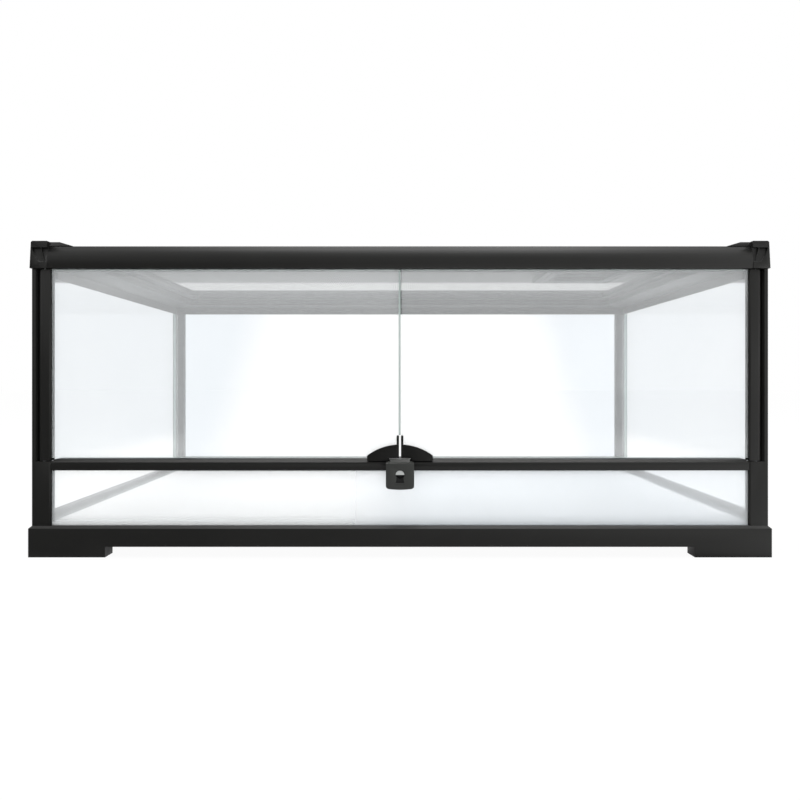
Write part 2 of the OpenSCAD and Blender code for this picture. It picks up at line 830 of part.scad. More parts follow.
module lid_frame() {
    color(dark) difference() {
        union() {
            difference() {
                lid_box(0, recess_z, tank_h);
                lid_box(lid_bar, 0, through * 2);
                lid_box(lid_rim, mesh_z, through * 2);
                difference() {
                    lid_box(lid_rim, mesh_z - groove_w, mesh_z + 1);
                    lid_box(lid_rim + groove_w, 0, through * 2);
                }
            }
            hatch_box(surround_w, hatch_z, tank_h);
        }
        hatch_box(0, 0, through * 2);
        // seat of the lifting tab
        block([hatch_x + hatch_w / 2 - 1, hatch_y - tab_l / 2 - 0.8, tank_h - tab_t - 0.3],
            [hatch_x + hatch_w / 2 + surround_w + 1, hatch_y + tab_l / 2 + 0.8, tank_h + 1]);
        for (s = [-1, 1])
            rod_y(hatch_pin_r + pin_fit, hinge_x, hinge_z,
                hatch_y + s * (hatch_d / 2 - 1), hatch_y + s * (hatch_d / 2 + hatch_pin_out + 0.3));
    }
}

module lid_mesh() {
    color("#9a9d9c") difference() {
        lid_box(lid_rim + groove_w, mesh_z, mesh_z + mesh_t);
        hatch_box(surround_w, 0, through * 2);
    }
}

module lid_spline() {
    color(dark) difference() {
        lid_box(lid_rim + 0.1, mesh_z - groove_w, mesh_z);
        lid_box(lid_rim + groove_w - 0.1, 0, through * 2);
    }
}

// ---- Hatch ----

module hatch_frame() {
    rim = hatch_bar / 2;
    left = hatch_x - hatch_in_w / 2;
    color(dark) difference() {
        union() {
            hatch_box(-hatch_gap, hatch_z, tank_h);
            // lifting tab
            block([hatch_x + hatch_in_w / 2 - 1, hatch_y - tab_l / 2, tank_h - tab_t],
                [hatch_x + hatch_w / 2 + surround_w + tab_out, hatch_y + tab_l / 2, tank_h]);
        }
        hatch_box(-hatch_gap - hatch_bar, 0, through * 2);
        hatch_box(-hatch_gap - rim, mesh_z, through * 2);
        difference() {
            hatch_box(-hatch_gap - rim, mesh_z - groove_w, mesh_z + 1);
            hatch_box(-hatch_gap - rim - groove_w, 0, through * 2);
        }
        // upper edge rounded about the hinge line
        difference() {
            block([left - 1, -through, hinge_z], [hinge_x, through, tank_h + 1]);
            rod_y(hinge_round, hinge_x, hinge_z, -through, through);
        }
        for (s = [-1, 1])
            rod_y(hatch_pin_r + pin_fit / 2, hinge_x, hinge_z,
                hatch_y + s * (hatch_in_d / 2 - hatch_pin_in - 0.3), hatch_y + s * (hatch_in_d / 2 + 1));
    }
}

module hatch_mesh() {
    color("#9a9d9c") hatch_box(-hatch_gap - hatch_bar / 2 - groove_w, mesh_z, mesh_z + mesh_t);
}

module hatch_spline() {
    color(dark) difference() {
        hatch_box(-hatch_gap - hatch_bar / 2 - 0.1, mesh_z - groove_w, mesh_z);
        hatch_box(-hatch_gap - hatch_bar / 2 - groove_w + 0.1, 0, through * 2);
    }
}

module hatch_pins() {
    color(steel) for (s = [-1, 1])
        rod_y(hatch_pin_r, hinge_x, hinge_z,
            hatch_y + s * (hatch_in_d / 2 - hatch_pin_in), hatch_y + s * (hatch_d / 2 + hatch_pin_out));
}

// ---- Doors ----

module door_glass() {
    color(clear) block([door_gap / 2, -door_front, door_z0], [door_out_x, -door_rear, door_z1]);
}

module stile() {
    color(black) difference() {
        translate([0, 0, stile_z0]) linear_extrude(stile_z1 - stile_z0) stile_section();
        block([0, -door_front - slot_fit, 0], [door_out_x + slot_fit, -door_rear + slot_fit, through * 2]);
        for (z = [stile_z0 - 1, stile_z1 - bore_l])
            translate([stile_x, -stile_y, z]) cylinder(r = pin_r + pin_fit / 2, h = bore_l + 1);
    }
}

module hinge_pins() {
    color(steel) translate([stile_x, -stile_y, 0]) {
        translate([0, 0, block_top - pin_l]) cylinder(r = pin_r, h = pin_l * 2 + stile_gap);
        translate([0, 0, fascia_z + pin_l - pin_l * 2 - stile_gap])
            cylinder(r = pin_r, h = pin_l * 2 + stile_gap);
    }
}

module handle() {
    top = handle_z + handle_h;
    color(dark) difference() {
        union() {
            // quarter-moon plate in front of the glass, undercut over the rail's chamfer
            intersection() {
                along_y(-handle_front, -door_front) polygon(concat(
                    [[fin_in, handle_z], [handle_w, handle_z]],
                    arc([0, top - arc_r], arc_r, 90 - asin(handle_w / arc_r),
                        90 - asin(fin_in / arc_r), 16)
                ));
                along_x(-handle_w, handle_w) polygon([
                    [-handle_front, handle_z], [-handle_front + handle_edge, handle_z],
                    [-door_front, handle_z + handle_t - handle_edge], [-door_front, top],
                    [-handle_front, top]
                ]);
            }
            // clip fin around the free edge of the glass
            block([fin_in, -door_front - fin_leaf, notch_z],
                [fin_in + fin_w, -door_rear + fin_leaf, handle_z + fin_h - fin_w / 2]);
            rod_y(fin_w / 2, fin_in + fin_w / 2, handle_z + fin_h - fin_w / 2,
                -door_front - fin_leaf, -door_rear + fin_leaf);
        }
        block([door_gap / 2, -door_front - slot_fit, 0],
            [through, -door_rear + slot_fit, through * 2]);
        // room for the collar of the lock
        block([0, -handle_front - 1, 0], [notch_x, -door_front, notch_z]);
    }
}

module left_door_glass() { side(true) door_glass(); }
module right_door_glass() { side(false) door_glass(); }
module left_stile() { side(true) stile(); }
module right_stile() { side(false) stile(); }
module left_hinge_pins() { side(true) hinge_pins(); }
module right_hinge_pins() { side(false) hinge_pins(); }
module left_handle() { side(true) handle(); }
module right_handle() { side(false) handle(); }

// Clear strip on the free edge of the left door
module door_seal() {
    color([0.75, 0.78, 0.77, 0.7]) block([-door_gap / 2, -door_front + 1, handle_z + fin_h + 0.3],
        [-door_gap / 2 + seal_w, -door_rear - 1, door_z1]);
}

// ---- Lock ----

// Front outline of the housing, drawn in by inset: its foot is a shallow bow with round ends
function lock_outline(inset) =
    let (
        half = lock_w / 2 - inset,
        low = lock_z + inset,
        shoulder = [half, low + lock_bulge + lock_corner * 0.4],
        hip = [half - lock_corner, low + lock_bulge * 0.25]
    )
    concat(
        [[half, lock_top - inset], [-half, lock_top - inset]],
        bend([-shoulder.x, shoulder.y], [-half, low + lock_bulge * 0.5], [-hip.x, hip.y], 5),
        bend([-hip.x, hip.y], [0, low - lock_bulge * 0.25], hip, 8),
        bend(hip, [half, low + lock_bulge * 0.5], shoulder, 5)
    );

// The housing's plan, drawn in by inset on each side and carried past its back
module lock_plan(inset, past) {
    half = lock_w / 2 - inset;
    translate([0, 0, lock_z - 1]) linear_extrude(lock_h + 2) polygon([
        [-half, -lock_y], [half, -lock_y],
        [half - lock_taper, -post_y], [half - lock_taper, -post_y + past],
        [-half + lock_taper, -post_y + past], [-half + lock_taper, -post_y]
    ]);
}

// Raised collar around the bolt, narrower at its top, in front of the handles
module collar() {
    half = collar_w / 2;
    intersection() {
        along_y(-lock_y + 3, -handle_front - 0.4) polygon([
            [-half, lock_top - 1], [half, lock_top - 1], [half, lock_top],
            [half - 0.6, collar_top], [-half + 0.6, collar_top], [-half, lock_top]
        ]);
        along_x(-half, half) polygon([
            [-lock_y + 3, lock_top - 1], [-handle_front - 0.4, lock_top - 1],
            [-handle_front - 0.4, collar_top], [-lock_y + 5, collar_top], [-lock_y + 3, lock_top]
        ]);
    }
}

module lock_housing() {
    color(black) difference() {
        union() {
            intersection() {
                along_y(-lock_y, -post_y) polygon(lock_outline(0));
                lock_plan(0, eps);
                // lean of the top behind the front edge
                along_x(-lock_w, lock_w) polygon([
                    [-lock_y, 0], [-lock_y, lock_top - 1.4], [-lock_y + 2.4, lock_top],
                    [-post_y, lock_top], [-post_y, 0]
                ]);
            }
            collar();
        }
        difference() {
            intersection() {
                along_y(-lock_in_y, -post_y + 1) polygon(lock_outline(lock_wall));
                lock_plan(lock_wall, 2);
            }
            for (s = [-1, 1])
                rod_y(boss_r, s * lock_screw_x, lock_screw_z, -lock_in_y - eps, -plate_y);
        }
        // arched recess around the core
        rod_y(keyhole_r, 0, core_z, -lock_y - 1, -lock_y + keyhole_depth);
        along_y(-lock_y - 1, -lock_y + keyhole_depth) polygon([
            [-keyhole_neck, core_z], [-keyhole_neck, core_z - keyhole_h * 0.6],
            [-keyhole_w / 2, core_z - keyhole_h], [keyhole_w / 2, core_z - keyhole_h],
            [keyhole_neck, core_z - keyhole_h * 0.6], [keyhole_neck, core_z]
        ]);
        rod_y(core_r + pin_fit, 0, core_z, -lock_y - 1, -lock_in_y + 1);
        // slot for the bolt
        block([-bolt_w / 2 - 0.3, -bolt_y1 - 0.3, lock_top - lock_wall - 1],
            [bolt_w / 2 + 0.3, -bolt_y0 + 0.3, collar_top + 1]);
        for (s = [-1, 1])
            rod_y(lock_screw_r + screw_fit, s * lock_screw_x, lock_screw_z,
                -lock_in_y + 1, -post_y + 1);
    }
}

// Back plate that closes the housing and carries the end of the core's shaft
module lock_plate() {
    color(steel) difference() {
        intersection() {
            along_y(-plate_y, -post_y) polygon(lock_outline(lock_wall + 0.2));
            lock_plan(lock_wall + 0.2, eps);
        }
        rod_y(shaft_r + pin_fit, 0, core_z, -plate_y - 1, -post_y + 1);
        for (s = [-1, 1])
            rod_y(lock_screw_r + 0.2, s * lock_screw_x, lock_screw_z, -plate_y - 1, -post_y + 1);
    }
}

module lock_core() {
    face = lock_y - 0.4;
    color(steel) difference() {
        union() {
            rod_y(core_r, 0, core_z, -face, -lock_in_y);
            rod_y(shaft_r, 0, core_z, -lock_in_y - eps, -cam_y1 - 0.1);
            block([-square / 2, -cam_y1 - 0.2, core_z - square / 2],
                [square / 2, -cam_y0 + 0.1, core_z + square / 2]);
            rod_y(shaft_r, 0, core_z, -cam_y0 + 0.1, -shaft_end);
        }
        block([-core_r, -face - 1, core_z - core_r - 1], [core_r, -face + key_depth, core_z]);
    }
}

// Radius of the spiral cam at the angle a back from its top
function cam_radius(a) = cam_r + bolt_lift * max(0, min(a, 90)) / 90;

module lock_cam() {
    color("#d8d6c8") difference() {
        along_y(-cam_y1, -cam_y0) polygon([
            for (a = [-150:10:200])
                let (r = a < 100 ? cam_radius(a) : cam_r + bolt_lift * max(0, (200 - a) / 100))
                [-r * sin(a), core_z + r * cos(a)]
        ]);
        block([-square / 2 - 0.05, -cam_y1 - 1, core_z - square / 2 - 0.05],
            [square / 2 + 0.05, -cam_y0 + 1, core_z + square / 2 + 0.05]);
    }
}

module lock_bolt() {
    color(steel) {
        block([-bolt_w / 2, -bolt_y1, nose_z - nose_r], [bolt_w / 2, -bolt_y0, bolt_top]);
        rod_y(nose_r, 0, nose_z, -cam_y1, -bolt_y0 - 0.1);
    }
}

module lock_screws() {
    color(steel) for (s = [-1, 1]) {
        rod_y(lock_screw_r, s * lock_screw_x, lock_screw_z, -plate_y - 4, -post_back - 1);
        rod_y(lock_screw_r * 2, s * lock_screw_x, lock_screw_z, -post_back - 2.8, -post_back - 0.8);
    }
}

base_frame();
foot_pads();
floor_glass();
front_glass();
left_glass();
right_glass();
rear_glass();
floor_sealant();
corner_sealant();
left_front_post();
right_front_post();
left_rear_post();
right_rear_post();
post_screws();
door_rail();
top_front_rail();
top_rear_rail();
top_left_rail();
top_right_rail();
front_left_corner();
front_right_corner();
rear_left_corner();
rear_right_corner();
lid_frame();
lid_mesh();
lid_spline();
hatch_frame();
hatch_mesh();
hatch_spline();
hatch_pins();
left_door_glass();
right_door_glass();
left_stile();
right_stile();
left_hinge_pins();
right_hinge_pins();
left_handle();
right_handle();
door_seal();
lock_housing();
lock_plate();
lock_core();
lock_cam();
lock_bolt();
lock_screws();
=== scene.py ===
"""Looks of a front-opening glass reptile terrarium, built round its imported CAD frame."""

import json

import bmesh
import bpy
import numpy as np
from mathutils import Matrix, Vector

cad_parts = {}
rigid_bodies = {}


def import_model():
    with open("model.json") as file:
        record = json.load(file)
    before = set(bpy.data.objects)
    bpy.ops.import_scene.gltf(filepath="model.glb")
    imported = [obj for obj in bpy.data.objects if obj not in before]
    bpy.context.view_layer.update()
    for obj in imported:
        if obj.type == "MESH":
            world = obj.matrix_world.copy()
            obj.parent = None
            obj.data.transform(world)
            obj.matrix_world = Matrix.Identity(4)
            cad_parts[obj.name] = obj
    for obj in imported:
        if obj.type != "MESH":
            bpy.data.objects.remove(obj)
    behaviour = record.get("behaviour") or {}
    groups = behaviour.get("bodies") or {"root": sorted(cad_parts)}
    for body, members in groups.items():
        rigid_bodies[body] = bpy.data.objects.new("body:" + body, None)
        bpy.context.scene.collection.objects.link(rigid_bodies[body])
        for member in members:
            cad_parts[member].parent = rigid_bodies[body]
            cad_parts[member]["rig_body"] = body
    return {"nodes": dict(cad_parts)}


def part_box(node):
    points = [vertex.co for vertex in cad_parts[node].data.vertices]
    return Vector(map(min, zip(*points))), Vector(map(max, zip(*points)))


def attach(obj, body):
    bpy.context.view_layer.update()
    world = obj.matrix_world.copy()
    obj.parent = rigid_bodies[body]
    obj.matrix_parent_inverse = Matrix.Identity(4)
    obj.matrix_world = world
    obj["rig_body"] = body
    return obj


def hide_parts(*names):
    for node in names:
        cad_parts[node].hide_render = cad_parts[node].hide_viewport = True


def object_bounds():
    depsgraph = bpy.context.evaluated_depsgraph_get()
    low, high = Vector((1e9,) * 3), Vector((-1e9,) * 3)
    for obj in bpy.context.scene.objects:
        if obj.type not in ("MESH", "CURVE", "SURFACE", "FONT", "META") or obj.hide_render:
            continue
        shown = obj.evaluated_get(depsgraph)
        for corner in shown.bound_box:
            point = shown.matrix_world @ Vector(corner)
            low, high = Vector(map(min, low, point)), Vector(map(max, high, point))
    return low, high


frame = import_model()
cad_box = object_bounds()
nodes = frame["nodes"]

# ---------------------------------------------------------------------------------------------
# Frame mouldings: base, posts, door rail, top rails and corner blocks.
# Black ABS, injection moulded and extruded, with a satin spark-eroded surface and edges that
# the mould leaves with a small radius. They are glued and screwed round the panes.

MOULDINGS = {
    "base_frame": 1.0,
    "left_front_post": 0.6,
    "right_front_post": 0.6,
    "left_rear_post": 0.8,
    "right_rear_post": 0.8,
    "door_rail": 0.5,
    "top_front_rail": 0.5,
    "top_rear_rail": 0.5,
    "top_left_rail": 0.5,
    "top_right_rail": 0.5,
    "front_left_corner": 0.8,
    "front_right_corner": 0.8,
    "rear_left_corner": 0.8,
    "rear_right_corner": 0.8,
}
ABS_BLACK = "#131312"
ABS_WORN = "#171716"  # where hands and cloths have rubbed it
ABS_ROUGHNESS = (0.36, 0.4)
ABS_GLOSS = 0.11
GRAIN_BUMP_MM = 0.002
GRAIN_MM = 1.2  # the etched grain is finer, and is drawn this coarse so that it shows
CLOUD_MM = 70.0  # slow change of gloss along an extrusion
EDGE_TURN = np.radians(35)  # an edge that turns by more than this gets the mould's radius
FLAT_TURN = np.radians(0.5)  # triangles that turn by less than this are one flat face
WELD = 1e-6


def linear(hex_colour, alpha=1.0):
    """An sRGB hex colour as linear numbers: below 0.04045 a straight line, above it a power."""
    v = np.array([int(hex_colour[i : i + 2], 16) for i in (1, 3, 5)]) / 255
    v = np.where(v <= 0.04045, v / 12.92, ((v + 0.055) / 1.055) ** 2.4)
    return (*v.tolist(), alpha)


def add(tree, kind, values=None, **settings):
    """Adds a node, sets its properties, and gives its inputs constants or links to sockets."""
    n = tree.nodes.new(kind)
    for key, value in settings.items():
        setattr(n, key, value)
    for key, value in (values or {}).items():
        if isinstance(value, bpy.types.NodeSocket):
            tree.links.new(value, n.inputs[key])
        else:
            n.inputs[key].default_value = value
    return n


MIX_A, MIX_B, MIX_RESULT = 6, 7, 2  # the colour sockets of a Mix node


def new_material(name):
    """An empty node material and its output."""
    m = bpy.data.materials.new(name)
    m.use_nodes = True
    m.node_tree.nodes.clear()
    return m, m.node_tree, add(m.node_tree, "ShaderNodeOutputMaterial")


def satin_abs(name, low, high, roughness, specular, bump_mm):
    """Moulded plastic: two close colours and two roughnesses mixed by a slow cloud, and a grain
    of fine noise as bump. Both patterns are in object space, in millimetres."""
    m, t, out = new_material(name)
    place = add(t, "ShaderNodeTexCoord").outputs["Object"]
    cloud = add(t, "ShaderNodeTexNoise", {"Vector": place, "Scale": 1000 / CLOUD_MM, "Detail": 1.0})
    grain = add(t, "ShaderNodeTexNoise", {"Vector": place, "Scale": 1000 / GRAIN_MM, "Detail": 2.0})
    colour = add(
        t,
        "ShaderNodeMix",
        {0: cloud.outputs["Fac"], MIX_A: linear(low), MIX_B: linear(high)},
        data_type="RGBA",
    )
    rough = add(
        t,
        "ShaderNodeMapRange",
        {"Value": cloud.outputs["Fac"], "To Min": roughness[0], "To Max": roughness[1]},
    )
    bump = add(
        t,
        "ShaderNodeBump",
        {"Height": grain.outputs["Fac"], "Distance": bump_mm / 1000, "Strength": 0.6},
    )
    shader = add(
        t,
        "ShaderNodeBsdfPrincipled",
        {
            "Base Color": colour.outputs[MIX_RESULT],
            "Roughness": rough.outputs["Result"],
            "Normal": bump.outputs["Normal"],
            "Specular IOR Level": specular,
        },
    )
    t.links.new(shader.outputs["BSDF"], out.inputs["Surface"])
    return m


def softened(node, radius_mm):
    """A copy of a CAD node with its loose triangles joined, its flat faces made whole, and a
    small rounded bevel along every edge that turns by more than EDGE_TURN. It rides on the
    node's own body and stands for it."""
    source = nodes[node]
    mesh = source.data.copy()
    mesh.name = node + "_moulded"
    mesh.materials.clear()
    b = bmesh.new()
    b.from_mesh(mesh)
    bmesh.ops.remove_doubles(b, verts=b.verts, dist=WELD)
    bmesh.ops.dissolve_limit(b, angle_limit=FLAT_TURN, verts=b.verts, edges=b.edges)
    for f in b.faces:
        f.smooth = True
    b.to_mesh(mesh)
    b.free()
    piece = bpy.data.objects.new(node + "_moulded", mesh)
    bpy.context.scene.collection.objects.link(piece)
    bevel = piece.modifiers.new("mould_radius", "BEVEL")
    bevel.width = radius_mm / 1000
    bevel.segments = 2
    bevel.limit_method = "ANGLE"
    bevel.angle_limit = EDGE_TURN
    bevel.harden_normals = True
    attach(piece, source["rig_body"])
    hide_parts(node)
    return piece


# Deep black with a soft sheen that wanders a little along each bar.
abs_black = satin_abs(
    "satin_black_abs", ABS_BLACK, ABS_WORN, ABS_ROUGHNESS, ABS_GLOSS, GRAIN_BUMP_MM
)
for name, radius in MOULDINGS.items():
    part = softened(name, radius)
    part.data.materials.append(abs_black)

# ---------------------------------------------------------------------------------------------
# Foot pads: rubber discs pressed into pockets under the feet.
# Matt black rubber with a little dust in its pores.

RUBBER_BLACK = "#1B1B1B"
RUBBER_DUSTY = "#2A2A29"
# Dull and a little uneven, with no highlight.
rubber = satin_abs("black_rubber", RUBBER_BLACK, RUBBER_DUSTY, (0.75, 0.9), 0.3, 0.05)
nodes["foot_pads"].material_slots[0].material = rubber

# ---------------------------------------------------------------------------------------------
# Sealant: clear silicone beads smoothed along the floor pane and up the rear corners. Each is a
# thin translucent bead with a soft shine, a little cloudier where it is thick.

SILICONE = "#E8EDEE"
SILICONE_CLOUDY = (0.1, 0.18)  # share that isn't clear, where the bead is thin and thick
BEAD_MM = 25.0  # along a bead, from one thick place to the next

# A faint pale line, hardly whiter than the glass.
m, t, out = new_material("clear_silicone")
place = add(t, "ShaderNodeTexCoord").outputs["Object"]
thick = add(t, "ShaderNodeTexNoise", {"Vector": place, "Scale": 1000 / BEAD_MM, "Detail": 2.0})
low, high = SILICONE_CLOUDY
cloudy = add(
    t, "ShaderNodeMapRange", {"Value": thick.outputs["Fac"], "To Min": low, "To Max": high}
)
bead = add(
    t,
    "ShaderNodeBsdfPrincipled",
    {"Base Color": linear(SILICONE), "Roughness": 0.35, "Alpha": cloudy.outputs["Result"]},
)
t.links.new(bead.outputs["BSDF"], out.inputs["Surface"])
for name in ("floor_sealant", "corner_sealant"):
    nodes[name].material_slots[0].material = m

# ---------------------------------------------------------------------------------------------
# Panes: clear float glass, cut and with ground edges, glued into the channels of the mouldings.
# It mirrors more as it is seen flatter, carries a faint haze, shows green-grey at its edges, and
# some panes carry painted shade.

EDGE_GLASS = "#B9CBC6"
HAZE = "#F7FAFB"
# painted shade: tones that darken the see-through colour of parts of the panes
BLUE_PAINTED_SHADE = "#F2F5F8"
PALE_PAINTED_SHADE = "#F1F3F5"
FAINT_PAINTED_SHADE = "#F6F8FA"
HAZE_THINNEST_HEIGHT = 0.235  # the haze is thinnest round this height
HAZE_GROWS_FROM, HAZE_GROWS_TO = 0.07, 0.105  # off that height, where the haze begins and ends to grow
HAZE_EDGE_GAIN = 1.35  # how much more haze there is near the top and bottom edges


def float_glass(name, thin_axis, haze, head_on, grazing, painted_shade=None):
    """A pane as two clear faces: Transparent, white or with a faint painted shade, under a share of
    pale haze, under a mirror whose share is Schlick's: its share head on, plus what is left up to
    its share at a grazing look times one minus the cosine, to the fifth. A painted shade is a tone,
    two
    directions and a band: the clear colour darkens to the tone smoothly over the band of the place
    times the first direction plus the place's size times the second. Where the surface's own normal
    isn't along the pane's thin axis it is a ground edge."""
    m, t, out = new_material(name)
    coordinates = add(t, "ShaderNodeTexCoord").outputs
    place = coordinates["Object"]
    clear = add(t, "ShaderNodeBsdfTransparent", {"Color": (1, 1, 1, 1)})
    # painted shade: the see-through colour goes from white to the tone over the band
    if painted_shade is not None:
        tone, along_place, along_size, band = painted_shade
        sized = add(t, "ShaderNodeVectorMath", {0: place}, operation="ABSOLUTE")
        ways = [
            add(t, "ShaderNodeVectorMath", {0: a, 1: b}, operation="DOT_PRODUCT").outputs["Value"]
            for a, b in ((sized.outputs[0], along_size), (place, along_place))
        ]
        way = add(t, "ShaderNodeMath", {0: ways[0], 1: ways[1]})
        shade_share = add(
            t,
            "ShaderNodeMapRange",
            {"Value": way.outputs[0], "From Min": band[0], "From Max": band[1]},
            interpolation_type="SMOOTHSTEP",
        )
        tint = add(
            t,
            "ShaderNodeMix",
            {0: shade_share.outputs["Result"], MIX_A: (1, 1, 1, 1), MIX_B: linear(tone)},
            data_type="RGBA",
        )
        t.links.new(tint.outputs[MIX_RESULT], clear.inputs["Color"])
    film = add(
        t,
        "ShaderNodeBsdfPrincipled",
        {"Base Color": linear(HAZE), "Roughness": 0.5, "Specular IOR Level": 0.2},
    )
    height = add(t, "ShaderNodeSeparateXYZ", {0: place}).outputs["Z"]
    from_middle = add(t, "ShaderNodeMath", {0: height, 1: HAZE_THINNEST_HEIGHT}, operation="SUBTRACT")
    off_middle = add(t, "ShaderNodeMath", {0: from_middle.outputs[0]}, operation="ABSOLUTE")
    haze_share = add(
        t,
        "ShaderNodeMapRange",
        {
            "Value": off_middle.outputs[0],
            "From Min": HAZE_GROWS_FROM,
            "From Max": HAZE_GROWS_TO,
            "To Min": haze,
            "To Max": haze * HAZE_EDGE_GAIN,
        },
        interpolation_type="SMOOTHSTEP",
    )
    hazy = add(
        t,
        "ShaderNodeMixShader",
        {0: haze_share.outputs["Result"], 1: clear.outputs[0], 2: film.outputs[0]},
    )
    facing = add(t, "ShaderNodeLayerWeight", {"Blend": 0.5}).outputs["Facing"]
    fifth = add(t, "ShaderNodeMath", {0: facing, 1: 5.0}, operation="POWER")
    share = add(
        t,
        "ShaderNodeMath",
        {0: fifth.outputs[0], 1: grazing - head_on, 2: head_on},
        operation="MULTIPLY_ADD",
    )
    mirror = add(t, "ShaderNodeBsdfGlossy", {"Color": (1, 1, 1, 1), "Roughness": 0.01})
    face = add(
        t, "ShaderNodeMixShader", {0: share.outputs[0], 1: hazy.outputs[0], 2: mirror.outputs[0]}
    )
    ground = add(
        t,
        "ShaderNodeBsdfPrincipled",
        {"Base Color": linear(EDGE_GLASS), "Roughness": 0.3, "Alpha": 0.75},
    )
    along = add(
        t, "ShaderNodeVectorMath", {0: coordinates["Normal"], 1: thin_axis}, operation="DOT_PRODUCT"
    )
    size = add(t, "ShaderNodeMath", {0: along.outputs["Value"]}, operation="ABSOLUTE")
    rim = add(t, "ShaderNodeMath", {0: size.outputs[0], 1: 0.5}, operation="LESS_THAN")
    both = add(
        t, "ShaderNodeMixShader", {0: rim.outputs[0], 1: face.outputs[0], 2: ground.outputs[0]}
    )
    t.links.new(both.outputs[0], out.inputs["Surface"])
    return m


# Each pane: its thin axis, its haze, what it mirrors head on and at a grazing look, and its painted
# shade, faintly cool, towards the rear pane's sides and top corners, on the front pane's right and
# on the side panes above about 0.1 m. They read as clear, and what lies behind the hazier front
# ones looks greyer.
ACROSS, BACK, UP, NOWHERE = (1, 0, 0), (0, 1, 0), (0, 0, 1), (0, 0, 0)
FRONT_SHEEN = (0.003, 1.0)
SIDE_SHEEN = (0.02, 0.3)
SIDE_PAINTED_SHADE = (PALE_PAINTED_SHADE, UP, NOWHERE, (0.09, 0.13))
PANES = {
    "front_glass": (BACK, 0.19, *FRONT_SHEEN, (FAINT_PAINTED_SHADE, ACROSS, NOWHERE, (-0.12, 0.05))),
    "rear_glass": (BACK, 0.01, *FRONT_SHEEN, (BLUE_PAINTED_SHADE, (0, 0, 0.3), ACROSS, (0.32, 0.43))),
    "left_glass": (ACROSS, 0.02, *SIDE_SHEEN, SIDE_PAINTED_SHADE),
    "right_glass": (ACROSS, 0.02, *SIDE_SHEEN, SIDE_PAINTED_SHADE),
    "left_door_glass": (BACK, 0.168, *FRONT_SHEEN),
    "right_door_glass": (BACK, 0.146, *FRONT_SHEEN),
}
for name, how in PANES.items():
    material_name = name.replace("_glass", "_float_glass")
    nodes[name].material_slots[0].material = float_glass(material_name, *how)

# The floor pane is acid etched on its upper face, so it is milky and hardly mirrors.
# It reads as a plain white ground.
FROST = "#FFFFFF"
FROSTED = 0.95  # share of the pane that the etching makes milky
m, t, out = new_material("etched_float_glass")
clear = add(t, "ShaderNodeBsdfTransparent", {"Color": (1, 1, 1, 1)})
milky = add(
    t,
    "ShaderNodeBsdfPrincipled",
    {"Base Color": linear(FROST), "Roughness": 0.7, "Specular IOR Level": 0.1},
)
etched = add(t, "ShaderNodeMixShader", {0: FROSTED, 1: clear.outputs[0], 2: milky.outputs[0]})
t.links.new(etched.outputs[0], out.inputs["Surface"])
nodes["floor_glass"].material_slots[0].material = m

# ---------------------------------------------------------------------------------------------
# Screws, hinge pins and lock works: steel, zinc plated after forming, so it has a bright, soft
# shine with a faint bluish grain.

STEEL = "#B4B8BA"
STEEL_ROUGHNESS = (0.25, 0.38)
SPANGLE_MM = 3.0  # the crystals of the zinc


def plated_steel():
    """Zinc plate: metal whose roughness changes with a noise of SPANGLE_MM. It reads as light
    grey metal with blurred highlights."""
    m, t, out = new_material("zinc_plated_steel")
    place = add(t, "ShaderNodeTexCoord").outputs["Object"]
    spangle = add(
        t, "ShaderNodeTexNoise", {"Vector": place, "Scale": 1000 / SPANGLE_MM, "Detail": 2.0}
    )
    low, high = STEEL_ROUGHNESS
    rough = add(
        t, "ShaderNodeMapRange", {"Value": spangle.outputs["Fac"], "To Min": low, "To Max": high}
    )
    shader = add(
        t,
        "ShaderNodeBsdfPrincipled",
        {"Base Color": linear(STEEL), "Metallic": 1.0, "Roughness": rough.outputs["Result"]},
    )
    t.links.new(shader.outputs["BSDF"], out.inputs["Surface"])
    return m


zinc = plated_steel()
for name in (
    "post_screws",
    "left_hinge_pins",
    "right_hinge_pins",
    "hatch_pins",
    "lock_plate",
    "lock_bolt",
    "lock_screws",
):
    nodes[name].material_slots[0].material = zinc

# ---------------------------------------------------------------------------------------------
# Lid and hatch frames: black ABS mouldings that lie loose in the recess of the top rails, and
# the hatch that swings on two pins in the lid.

FRAME_RADIUS = 0.6
for name in ("lid_frame", "hatch_frame"):
    part = softened(name, FRAME_RADIUS)
    part.data.materials.append(abs_black)

# ---------------------------------------------------------------------------------------------
# Screens: woven steel wire, coated grey, stretched over the lid and the hatch and held by a
# rubber spline rolled into a groove. The wires are real strips, one layer along X and one along
# Y on top of it.

SPLINE_BLACK = "#1A1B1B"
SPLINE_WORN = "#202121"
# A dark, slightly shiny cord.
spline_rubber = satin_abs(
    "black_spline_rubber", SPLINE_BLACK, SPLINE_WORN, (0.4, 0.5), 0.3, 0.01
)
for name in ("lid_spline", "hatch_spline"):
    nodes[name].material_slots[0].material = spline_rubber

WIRE_PITCH = 0.0032
WIRE_WIDTH = 0.0009
WIRE_THICK = 0.00006
WIRE_LAP = 1.2  # the second layer's height over the first, in thicknesses
WIRE_GREY = "#2E302F"
WIRE_PALE = "#383A39"


def wire_spans(low, high, hole):
    """Rows of wires over a rectangle with one rectangular hole: the place of each wire across
    the rectangle, and where it starts and ends along it. A wire that meets the hole is two."""
    rows = np.arange(low[1] + WIRE_PITCH / 2, high[1], WIRE_PITCH)
    if hole is None:
        return np.c_[rows, np.full(rows.size, low[0]), np.full(rows.size, high[0])]
    meets = (rows > hole[0][1]) & (rows < hole[1][1])
    whole = rows[~meets]
    cut = rows[meets]
    return np.r_[
        np.c_[whole, np.full(whole.size, low[0]), np.full(whole.size, high[0])],
        np.c_[cut, np.full(cut.size, low[0]), np.full(cut.size, hole[0][0])],
        np.c_[cut, np.full(cut.size, hole[1][0]), np.full(cut.size, high[0])],
    ]


